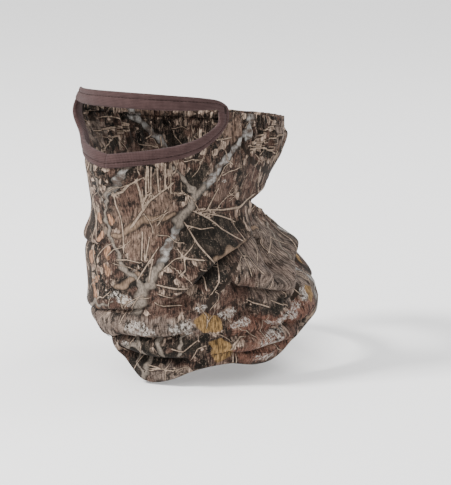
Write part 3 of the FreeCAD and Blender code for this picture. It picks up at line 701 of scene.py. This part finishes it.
TWIGS = (
    ((1.1, -8.3, 0.1), (2.1, -6.8, 0.08), (2.6, -6.0, 0.07), (3.3, -5.4, 0.06), (4.3, -4.6, 0.04)),
    ((2.1, -6.8, 0.07), (2.05, -5.2, 0.07), (1.9, -4.2, 0.05)),
    ((2.1, -6.4, 0.06), (2.4, -5.6, 0.05), (2.8, -5.3, 0.04)),
    ((2.4, -5.7, 0.05), (2.6, -3.1, 0.05)),
    ((2.75, -5.8, 0.04), (2.85, -3.2, 0.05)),
    ((3.3, -5.2, 0.05), (3.25, -3.3, 0.05)),
    ((3.75, -4.8, 0.05), (3.8, -3.0, 0.06)),
    ((4.15, -5.4, 0.04), (4.2, -3.0, 0.04)),
    ((2.0, -10.9, 0.05), (1.95, -8.7, 0.06)),
    ((2.3, -10.9, 0.06), (2.5, -9.1, 0.04)),
    ((0.1, -5.6, 0.1), (0.9, -5.2, 0.08), (1.4, -4.6, 0.06), (2.3, -4.0, 0.04)),
    ((0.2, -5.4, 0.05), (0.1, -6.5, 0.06), (0.3, -7.5, 0.05), (0.5, -10.4, 0.05)),
    ((6.4, -7.0, 0.05), (9.1, -7.3, 0.06), (11.4, -7.3, 0.08), (14.9, -6.6, 0.05)),
    ((5.2, -8.0, 0.04), (6.2, -9.6, 0.06), (7.1, -10.7, 0.05), (7.5, -11.4, 0.03)),
    ((6.0, -7.1, 0.05), (7.4, -7.8, 0.06), (8.7, -8.6, 0.05), (10.4, -9.2, 0.04)),
    ((6.6, -7.3, 0.04), (8.6, -7.7, 0.05), (10.6, -8.2, 0.04)),
    ((5.3, -8.2, 0.04), (6.6, -8.6, 0.04), (7.8, -8.5, 0.02)),
    ((4.6, -10.6, 0.04), (6.3, -10.5, 0.05)),
    ((5.0, -10.5, 0.04), (5.8, -9.7, 0.02)),
    ((1.7, -12.6, 0.04), (2.6, -11.0, 0.05), (3.2, -9.9, 0.03)),
    ((2.6, -12.6, 0.04), (2.9, -10.7, 0.04)),
    ((3.2, -12.7, 0.05), (4.6, -12.6, 0.06), (5.6, -12.7, 0.03)),
    ((3.3, -13.5, 0.05), (4.3, -13.6, 0.04), (4.9, -13.2, 0.02)),
    ((3.1, -14.4, 0.05), (3.6, -14.7, 0.05), (4.9, -14.6, 0.03)),
    ((12.1, -2.1, 0.07), (14.9, -2.0, 0.06), (19.5, -1.9, 0.05)),
    ((12.3, -2.5, 0.08), (14.9, -2.6, 0.07), (18.5, -3.6, 0.04)),
    ((12.6, -2.0, 0.05), (14.7, -1.1, 0.06), (17.5, -0.9, 0.04)),
    ((14.9, -4.3, 0.08), (15.2, -5.4, 0.08), (15.8, -6.6, 0.06)),
    ((8.5, -5.4, 0.06), (7.4, -7.0, 0.06)),
    ((8.4, -12.9, 0.04), (9.8, -12.9, 0.06), (11.5, -13.4, 0.06), (13.8, -13.9, 0.03)),
    ((9.9, -14.4, 0.03), (11.6, -15.2, 0.06)),
    ((8.0, -11.0, 0.03), (7.6, -12.6, 0.04), (7.0, -13.5, 0.03)),
    ((13.9, -11.3, 0.03), (15.2, -10.2, 0.04), (16.4, -10.9, 0.03)),
    ((17.4, -12.0, 0.03), (18.2, -13.6, 0.05), (19.6, -14.2, 0.03)),
    ((6.0, -17.6, 0.04), (5.1, -18.4, 0.04), (4.3, -18.2, 0.03)),
    ((2.2, -19.9, 0.03), (4.2, -20.2, 0.04), (5.4, -19.9, 0.02)),
    ((0.9, -20.4, 0.03), (1.6, -19.2, 0.05), (1.9, -18.2, 0.03)),
    ((-3.6, -4.6, 0.05), (-2.2, -7.4, 0.06), (-3.0, -10.4, 0.05), (-2.0, -13.0, 0.04)),
    ((-2.0, -3.0, 0.05), (-2.9, -6.4, 0.06), (-2.2, -9.6, 0.05)),
    ((-5.4, -5.0, 0.05), (-4.2, -8.2, 0.06), (-4.7, -12.2, 0.05)),
    ((16.9, -6.4, 0.05), (18.0, -8.6, 0.06), (20.9, -9.9, 0.04)),
    ((18.0, -8.6, 0.05), (17.4, -10.6, 0.04), (15.9, -12.0, 0.03)),
    ((-7.4, -13.6, 0.05), (-5.4, -15.0, 0.06), (-3.4, -17.9, 0.04)),
)
DARK_LIMBS_AND_PAINTED_SHADOW = (
    ((11.5, -2.1, 0.14), (12.7, -3.4, 0.2), (14.6, -4.3, 0.22), (17.4, -5.0, 0.22), (20.4, -4.9, 0.16)),
    ((9.5, -11.3, 0.06), (8.2, -12.5, 0.1), (7.2, -13.6, 0.14), (6.7, -15.0, 0.12)),
    ((-4.6, -3.0, 0.22), (-3.4, -6.8, 0.26), (-3.9, -11.0, 0.24), (-2.9, -15.6, 0.26)),
    ((19.8, -7.2, 0.2), (20.4, -11.2, 0.24), (20.0, -16.2, 0.22)),
    # This last dark line is painted shadow: it darkens the print along the right edge of the upright fold,
    # between the two lobes.
    ((15.5, -15.4, 0.16), (16.2, -13.9, 0.26), (16.7, -12.2, 0.26), (16.9, -10.7, 0.12)),
)

# Patches of each colour: across, up, half width, half height, turn in degrees.
PATCHES = {
    "warm bark": (
        (2.1, -7.6, 2.3, 3.2, -14), (10.0, -0.6, 1.4, 0.9, 20),
    ),
    "red bark": (
        (1.4, -5.6, 0.7, 1.9, -24), (3.4, -9.6, 0.5, 1.9, -14), (9.2, -5.6, 1.6, 1.5, 10),
        (13.6, -5.0, 1.5, 2.0, 0), (9.0, -13.6, 1.9, 1.0, 34), (4.0, -14.3, 2.2, 0.9, 0),
        (0.6, -14.9, 2.0, 0.5, 0), (-6.0, -7.5, 1.6, 3.0, 0),
    ),
    "hollow": (
        (7.3, -9.4, 2.6, 1.6, -20), (9.6, -8.3, 1.9, 0.5, -10), (7.0, -11.7, 1.8, 1.0, 32),
        (5.6, -4.7, 1.0, 0.9, 30), (6.6, -3.9, 1.2, 0.5, 45), (16.0, -3.2, 1.2, 0.5, -10),
        (1.8, -18.9, 1.6, 1.2, -30), (1.2, -20.4, 0.9, 1.2, -10), (4.2, -19.1, 1.4, 0.5, -8),
        (5.4, -18.0, 1.2, 0.7, 0), (1.3, -12.9, 0.9, 0.45, 20), (-5.6, -17.0, 1.5, 1.2, 0),
        # The patch at (12.9, -15.2) is painted shadow: a dark spot printed where the fold below the beak
        # casts shade.
        (12.9, -15.2, 1.1, 0.6, 20), (19.4, -6.5, 1.6, 2.2, 0),
    ),
    "grey bark": (
        (9.4, -5.4, 0.7, 1.4, 0), (13.2, -4.4, 0.5, 1.2, 0), (13.6, -12.0, 3.6, 3.4, 0),
        (17.5, -13.5, 1.8, 2.6, 0), (3.0, -16.4, 4.2, 0.8, 0), (3.9, -20.6, 1.9, 0.8, 0),
        (-2.4, -16.6, 2.2, 1.1, 0), (19.0, -2.0, 2.0, 1.0, 0),
    ),
    "rust": (
        (10.4, -16.6, 2.2, 0.9, 8), (11.6, -18.6, 3.0, 1.3, 5), (15.6, -16.4, 2.4, 0.8, 6),
    ),
}

# Leaves of two tints, and pale lichen: across, up, half width, half height, turn.
OCHRE_LEAVES = (
    (6.9, -16.1, 0.95, 0.85, 10), (7.9, -18.4, 0.85, 1.0, 14), (17.2, -15.2, 0.5, 0.8, 30),
    (20.6, -12.8, 0.5, 0.9, -30),
)
ORANGE_LEAVES = (
    (-3.1, -11.4, 0.5, 0.62, -20), (-2.8, -14.4, 0.62, 1.0, 12), (-1.9, -7.8, 0.42, 0.36, 10),
    (-1.1, -10.6, 0.3, 0.7, 24), (-1.0, -12.2, 0.22, 0.6, 10), (-1.7, -9.3, 0.3, 0.4, -10),
    (-2.3, -13.0, 0.25, 0.45, -30), (-0.6, -7.9, 0.3, 0.5, -20), (-6.7, -11.0, 0.5, 0.8, 30),
    (-4.9, -4.4, 0.4, 0.7, 20),
)
LICHEN = (
    (0.5, -14.15, 1.3, 0.3, -2), (8.4, -15.5, 0.55, 0.4, 0), (9.3, -16.2, 0.8, 0.3, 30),
    (11.8, -17.6, 1.3, 0.45, 20), (14.6, -16.3, 1.3, 0.4, 22), (11.6, -19.5, 1.0, 0.4, 0),
    (16.6, -15.0, 0.7, 0.5, 0), (4.9, -16.4, 0.9, 0.6, 20), (1.9, -16.5, 1.0, 0.5, 0),
    (8.9, -4.9, 0.4, 0.14, -20), (12.0, -16.4, 0.7, 0.3, 0), (1.2, -12.2, 0.4, 0.2, 40),
    (-5.4, -14.6, 0.9, 0.4, 0), (19.0, -14.6, 0.8, 0.4, 0), (0.9, -18.0, 0.7, 0.18, 10),
    (6.3, -14.8, 0.4, 0.4, 0),
)

COLOURS = {
    "deep": (0.006, 0.005, 0.004), "mid": (0.060, 0.043, 0.034), "pale": (0.26, 0.205, 0.165),
    "warm bark": (0.125, 0.088, 0.068), "red bark": (0.062, 0.036, 0.028),
    "grey bark": (0.130, 0.106, 0.091), "hollow": (0.010, 0.009, 0.007), "rust": (0.105, 0.052, 0.038),
    "birch": (0.33, 0.33, 0.32), "birch side": (0.085, 0.067, 0.057), "pale limb": (0.23, 0.20, 0.17),
    "tan limb": (0.25, 0.18, 0.13), "twig": (0.38, 0.30, 0.235), "dark limb and painted shadow": (0.022, 0.015, 0.011),
    "ochre": (0.21, 0.135, 0.060), "orange": (0.28, 0.165, 0.105), "lichen": (0.44, 0.42, 0.39),
}


def from_here(across, up, x, y):
    """Place relative to (x, y), the short way round the repeat."""
    repeat = PRINT_RIGHT - PRINT_LEFT
    return (across - x + repeat / 2) % repeat - repeat / 2, up - y


def oval_share(across, up, spots):
    """Distance from the middle of the nearest oval, as a share of its size."""
    nearest = np.full(across.shape, 4.0)
    for x, y, wide, tall, turn in spots:
        rel_x, rel_y = from_here(across, up, x, y)
        side, ahead = math.sin(math.radians(turn)), math.cos(math.radians(turn))
        share = np.hypot((rel_x * ahead + rel_y * side) / wide, (rel_y * ahead - rel_x * side) / tall)
        nearest = np.minimum(nearest, share)
    return nearest


def line_share(across, up, lines):
    """Signed distance from the nearest tapering line as a share of its half width, and in centimetres."""
    nearest = np.full(across.shape, 9.0)
    signed = np.full(across.shape, 9.0)
    for line in lines:
        for (x, y, width), (far_x, far_y, far_width) in zip(line, line[1:]):
            gap, side, along = beside(*from_here(across, up, x, y), far_x - x, far_y - y)
            share = side * gap / (width + along * (far_width - width))
            signed = np.where(gap < nearest, share, signed)
            nearest = np.minimum(gap, nearest)
    return signed, nearest


def fine_twigs():
    """Small bent twigs strewn over the whole print."""
    seed, count = 7, 150
    rng = np.random.default_rng(seed)
    twigs = []
    for _ in range(count):
        x, y = rng.uniform(PRINT_LEFT, PRINT_RIGHT), rng.uniform(-22, 2)
        turn, width = rng.normal(1.3, 0.9), rng.uniform(0.025, 0.05)
        points = [(x, y, width)]
        for _ in range(3):
            turn += rng.normal(0, 0.4)
            length = rng.uniform(0.3, 0.9)
            x, y, width = x + length * math.cos(turn), y + length * math.sin(turn), width * 0.8
            points.append((x, y, width))
        twigs.append(points)
    return twigs


def add_pattern(piece, across, up):
    """Keep on each point how near it is to every mark of the print, four marks to a layer."""
    across, up = np.ravel(across) / 10, np.ravel(up) / 10
    bend = 0.12 * np.sin(up * 3.1 + np.sin(across * 2.3)) + 0.08 * np.sin(up * 7.3 + across * 1.7)
    lean = 0.12 * np.sin(across * 2.7 + np.sin(up * 1.9)) + 0.08 * np.sin(across * 6.1 - up * 2.2)
    x, y = across + bend, up + lean
    patch = {name: oval_share(x, y, spots) for name, spots in PATCHES.items()}
    twig, twig_gap = line_share(across, up, TWIGS + tuple(fine_twigs()))
    layers = {
        "ground": (patch["warm bark"], patch["red bark"], patch["grey bark"], patch["hollow"]),
        "limbs": [np.abs(line_share(x, y, lines)[0])
                  for lines in (BIRCH, PALE_LIMBS, TAN_LIMBS, DARK_LIMBS_AND_PAINTED_SHADOW)],
        "marks": (patch["rust"], oval_share(x, y, LICHEN), oval_share(x, y, OCHRE_LEAVES),
                  oval_share(x, y, ORANGE_LEAVES)),
        "twigs": (twig, twig_gap, twig_gap, twig_gap),
    }
    for name, fields in layers.items():
        layer = piece.data.attributes.new(name, "FLOAT_COLOR", "POINT")
        values = np.stack([np.clip(field, -4, 4) for field in fields], axis=-1)
        layer.data.foreach_set("color", values.astype(np.float32).ravel())


class Tree:
    """Short calls that add nodes to one material."""

    def __init__(self, name, roughness=0.9):
        self.material = bpy.data.materials.new(name)
        self.material.use_nodes = True
        self.nodes = self.material.node_tree.nodes
        self.links = self.material.node_tree.links
        self.shader = self.nodes["Principled BSDF"]
        self.shader.inputs["Roughness"].default_value = roughness
        self.shader.inputs["Specular IOR Level"].default_value = 0.12

    def put(self, socket, value):
        """Link an output to a socket, or set the socket's value."""
        if isinstance(value, bpy.types.NodeSocket):
            self.links.new(value, socket)
        elif socket.type == "RGBA" and len(value) == 3:
            socket.default_value = (*value, 1)
        else:
            socket.default_value = value

    def node(self, kind, *values, **settings):
        """New node with its settings made and its inputs filled in their order."""
        node = self.nodes.new("ShaderNode" + kind)
        for name, value in settings.items():
            setattr(node, name, value)
        sockets = [socket for socket in node.inputs if socket.enabled]
        for socket, value in zip(sockets, values):
            self.put(socket, value)
        return node

    def math(self, operation, *values):
        return self.node("Math", *values, operation=operation).outputs[0]

    def noise(self, place, scale, detail=3.0, rough=0.55, stretch=(1, 1, 1)):
        stretched = self.node("VectorMath", place, stretch, operation="MULTIPLY")
        return self.node("TexNoise", stretched.outputs[0], scale, detail, rough).outputs["Fac"]

    def cells(self, place, scale):
        """One random value for each little angular cell."""
        node = self.node("TexVoronoi", place, scale)
        return self.node("SeparateColor", node.outputs["Color"]).outputs[0]

    def blend(self, factor, low, high, kind="MIX"):
        node = self.node("Mix", factor, low, high, data_type="RGBA", blend_type=kind)
        return next(socket for socket in node.outputs if socket.enabled)

    def ramp(self, value, low, high):
        """Smooth step that is 0 at low and 1 at high."""
        return self.node("MapRange", value, low, high, 0.0, 1.0, interpolation_type="SMOOTHSTEP").outputs[0]

    def finished(self, colour, sheen=0.0):
        """The material, with this colour and sheen."""
        self.put(self.shader.inputs["Base Color"], colour)
        self.put(self.shader.inputs["Sheen Weight"], sheen)
        return self.material

    def print_place(self):
        return self.node("Attribute", attribute_name="print").outputs["Vector"]

    def layer(self, name):
        """The four fields of one layer of the print."""
        node = self.node("Attribute", attribute_name=name)
        return (*self.node("SeparateColor", node.outputs["Color"]).outputs, node.outputs["Alpha"])


class Woodland(Tree):
    """The print's colour. Each method lays one more kind of mark over the colour so far."""

    def __init__(self):
        super().__init__("camo_knit", 0.92)
        flat = self.flat = self.print_place()
        self.streak = self.noise(flat, 3.0, 5.0, 0.65, (3.0, 0.5, 1))
        self.flakes = self.noise(flat, 3.4, 6.0, 0.72, (1.5, 0.9, 1))
        self.specks = self.noise(flat, 9.0, 5.0, 0.75)
        self.broad = self.noise(flat, 0.55, 2.0)
        self.peel = self.noise(flat, 1.5, 6.0, 0.65)
        self.gloom = self.noise(flat, 1.5, 4.0, 0.6, (1.3, 0.8, 1))
        self.crumbs = self.noise(flat, 4.5, 8.0, 0.85)
        self.shards = self.cells(flat, 2.0)
        self.ragged = self.math("MULTIPLY_ADD", self.flakes, 1.5, -0.75)
        self.rough_edge = self.math("MULTIPLY_ADD", self.specks, 0.9, -0.45)
        self.grain = self.blend(self.ramp(self.streak, 0.34, 0.66), (0.26, 0.24, 0.23), (2.0, 2.0, 2.0))
        self.colour = COLOURS["deep"]

    def lay(self, share, colour, strength=1.0):
        """Lay a colour, or the colour of a name, over the print where the share is high."""
        if strength < 1:
            share = self.math("MULTIPLY", share, strength)
        self.colour = self.blend(share, self.colour, COLOURS[colour] if isinstance(colour, str) else colour)

    def mottled(self, value, low, high, name, dark=0.5):
        """A named colour, darker where a value is low."""
        return self.blend(self.ramp(value, low, high), tuple(dark * c for c in COLOURS[name]), COLOURS[name])

    def lay_litter(self):
        """Dead leaves and flakes of bark over everything."""
        tone = self.math("MULTIPLY", self.streak, 0.7)
        tone = self.math("ADD", tone, self.math("MULTIPLY", self.flakes, 0.5))
        self.lay(self.ramp(tone, 0.46, 0.74), "mid")
        self.lay(self.ramp(self.shards, 0.70, 0.85), "pale")
        self.lay(self.ramp(self.shards, 0.30, 0.20), "deep")
        self.lay(self.ramp(self.flakes, 0.54, 0.70), "pale")
        reddish = self.math("MULTIPLY_ADD", self.flakes, 0.3, self.broad)
        self.lay(self.ramp(reddish, 0.62, 0.75), "red bark", 0.7)

    def lay_patches(self, rust):
        """Patches of bark and dark hollows, all of them streaked and specked; one hollow is painted shadow
        below a fold.
        """
        warm, red, grey, hollow = self.layer("ground")
        patches = ((warm, "warm bark", 0.35, 0.85), (grey, "grey bark", 0.45, 0.7),
                   (red, "red bark", 0.4, 0.75), (rust, "rust", 0.3, 0.8), (hollow, "hollow", 0.3, 0.9))
        for field, name, soft, strength in patches:
            share = self.math("ADD", self.ragged, field)
            self.lay(self.ramp(share, 1.0 + soft / 2, 1.0 - soft / 2), name, strength)
        self.colour = self.blend(1.0, self.colour, self.grain, "MULTIPLY")
        self.lay(self.ramp(self.specks, 0.57, 0.68), "pale")
        self.lay(self.ramp(self.crumbs, 0.45, 0.37), "deep")
        self.lay(self.ramp(self.gloom, 0.46, 0.38), "deep", 0.75)

    def lay_leaves(self, lichen, ochre, orange):
        """Pale lichen, and fallen leaves of two tints."""
        crust = self.ramp(self.math("MULTIPLY_ADD", self.ragged, 1.4, lichen), 1.2, 0.8)
        self.lay(self.math("MULTIPLY", crust, self.ramp(self.crumbs, 0.49, 0.54)), "lichen")
        veins = self.math("ADD", self.peel, self.streak)
        for field, name in ((ochre, "ochre"), (orange, "orange")):
            leaf = self.mottled(veins, 0.8, 1.15, name, 0.45)
            leaf = self.blend(0.6, leaf, self.blend(1.0, leaf, self.grain, "MULTIPLY"))
            share = self.math("MULTIPLY_ADD", self.rough_edge, 0.6, field)
            self.lay(self.ramp(share, 1.05, 0.95), leaf)

    def lay_limb(self, field, bark, rough, soft=0.2):
        """Rounded limbs of one bark, with a shadow beside them."""
        share = self.math("MULTIPLY_ADD", self.rough_edge, rough, field)
        self.lay(self.ramp(share, 1.9, 1.0), "deep", 0.6)
        rounded = self.math("MULTIPLY", self.ramp(field, 0.25, 1.1), 0.6)
        self.lay(self.ramp(share, 1.0 + soft, 1.0 - soft), self.blend(rounded, bark, COLOURS["hollow"]))

    def lay_limbs(self):
        birch, pale, tan, dark = self.layer("limbs")
        # The dark limbs include one painted shadow line beside the upright fold.
        self.lay_limb(dark, COLOURS["dark limb and painted shadow"], 1.0)
        self.lay_limb(tan, self.mottled(self.streak, 0.38, 0.60, "tan limb"), 1.0)
        peeled = self.blend(self.ramp(self.peel, 0.40, 0.62), COLOURS["birch side"], COLOURS["birch"])
        self.lay_limb(birch, peeled, 0.3, 0.08)
        self.lay_limb(pale, self.mottled(self.flakes, 0.38, 0.58, "pale limb"), 0.8)

    def lay_twigs(self):
        """Thin twigs with a shadow beside them."""
        twig, gap, _, _ = self.layer("twigs")
        share = self.math("ADD", self.math("ABSOLUTE", twig), self.rough_edge)
        near = self.ramp(gap, 0.17, 0.11)
        self.lay(self.math("MULTIPLY", self.ramp(share, 3.2, 1.6), near), "deep", 0.6)
        bark = self.mottled(self.flakes, 0.40, 0.60, "twig")
        self.lay(self.math("MULTIPLY", self.ramp(share, 1.3, 0.7), near), bark)


def camo_material():
    """Printed woodland on a fine matt knit."""
    tree = Woodland()
    rust, lichen, ochre, orange = tree.layer("marks")
    tree.lay_litter()
    tree.lay_patches(rust)
    tree.lay_leaves(lichen, ochre, orange)
    tree.lay_limbs()
    tree.lay_twigs()
    weave = knit_height(tree, tree.flat, 0.11, 0.11)
    loops = tree.blend(weave, (0.60, 0.57, 0.55), (0.98, 0.93, 0.90))
    add_bump(tree, weave, 0.35, 0.0004)
    return tree.finished(tree.blend(1.0, tree.colour, loops, "MULTIPLY"), 0.02)


def knit_height(tree, place, wide, tall):
    """Height of a small knit, from 0 between the loops to 1 on them."""
    apart = tree.node("SeparateXYZ", place)
    waves = []
    for output, pitch in ((apart.outputs[0], wide), (apart.outputs[1], tall)):
        wave = tree.math("SINE", tree.math("MULTIPLY", output, 2 * math.pi / pitch))
        waves.append(tree.math("MULTIPLY_ADD", wave, 0.25, 0.25))
    return tree.math("ADD", *waves)


def add_bump(tree, height, strength, distance):
    bump = tree.node("Bump")
    for name, value in (("Strength", strength), ("Distance", distance), ("Height", height)):
        tree.put(bump.inputs[name], value)
    tree.links.new(bump.outputs["Normal"], tree.shader.inputs["Normal"])


def fabric_material(name, colour, lighter, wide, tall, roughness=0.9, bump=0.5):
    """Plain knit or woven cloth of one dyed colour."""
    tree = Tree(name, roughness)
    flat = tree.print_place()
    weave = knit_height(tree, flat, wide, tall)
    fuzz = tree.noise(flat, 14.0, 4.0, 0.7)
    worn_tone = tree.noise(flat, 1.6, 2.0)
    value = tree.math("ADD", tree.math("MULTIPLY", weave, 0.5), tree.math("MULTIPLY", fuzz, 0.6))
    value = tree.math("ADD", value, tree.math("MULTIPLY", worn_tone, 0.4))
    add_bump(tree, tree.math("ADD", weave, fuzz), bump, 0.0005)
    return tree.finished(tree.blend(tree.ramp(value, 0.45, 1.05), colour, lighter), 0.04)


def thread_material(name, colour):
    """Spun thread with a slight twist in its shade."""
    tree = Tree(name, 0.75)
    twist = tree.noise(tree.node("TexCoord").outputs["Object"], 900.0, 2.0)
    dark, light = (tuple(share * c for c in colour) for share in (0.6, 1.3))
    return tree.finished(tree.blend(twist, dark, light))


def aimed(name, data, place, target):
    """Camera or lamp at a place, turned to face a target."""
    thing = bpy.data.objects.new(name, data)
    thing.location = place
    thing.rotation_euler = (target - thing.location).to_track_quat("-Z", "Y").to_euler()
    bpy.context.scene.collection.objects.link(thing)
    return thing


def make_camera():
    """Camera on the wearer's left of the front, a little above."""
    azimuth, elevation = math.radians(CAMERA_AZIMUTH), math.radians(CAMERA_ELEVATION)
    back = Vector((math.sin(azimuth) * math.cos(elevation), -math.cos(azimuth) * math.cos(elevation),
                   math.sin(elevation)))
    right = Vector((math.cos(azimuth), math.sin(azimuth), 0))
    target = right * AIM_RIGHT + back.cross(right) * AIM_UP
    data = bpy.data.cameras.new("camera")
    data.lens = LENS
    bpy.context.scene.camera = aimed("camera", data, back * CAMERA_DISTANCE, target)


def make_light(name, place, size, power, warm):
    data = bpy.data.lights.new(name, "AREA")
    data.size = size
    data.energy = power
    data.color = (1.0, 1.0 - 0.04 * warm, 1.0 - 0.1 * warm)
    aimed(name, data, place, LAMP_TARGET)


def make_stage():
    """Pale floor, pale background and soft studio light."""
    bpy.ops.mesh.primitive_plane_add(size=8, location=(0, 0, FLOOR_HEIGHT))
    floor = bpy.context.object
    floor.name = "floor"
    material = bpy.data.materials.new("floor")
    material.use_nodes = True
    shader = material.node_tree.nodes["Principled BSDF"]
    shader.inputs["Base Color"].default_value = (0.9, 0.9, 0.9, 1)
    shader.inputs["Roughness"].default_value = 0.9
    floor.data.materials.append(material)
    world = bpy.data.worlds.new("studio")
    world.use_nodes = True
    sky = world.node_tree.nodes["Background"]
    sky.inputs["Color"].default_value = (1, 1, 1, 1)
    sky.inputs["Strength"].default_value = SKY
    bpy.context.scene.world = world
    for lamp in LAMPS:
        make_light(*lamp)


make_camera()
make_stage()
cloth = make_cloth()
camo = camo_material()
finish_piece(cloth, camo, ("mask_panel",))

knit = fabric_material("brown_knit", (0.024, 0.0125, 0.0122), (0.068, 0.040, 0.038), 0.09, 0.12)
thread = thread_material("brown_thread", (0.016, 0.009, 0.008))
make_bands(knit, thread)
elastic = fabric_material("ribbed_elastic", (0.010, 0.009, 0.008), (0.040, 0.037, 0.034), 0.16, 3.0)
label = fabric_material("label_tape", (0.50, 0.48, 0.44), (0.66, 0.64, 0.60), 0.05, 0.05, 0.6, 0.2)
linings = make_linings(camo, elastic)
make_stitching(thread)
make_label(label)
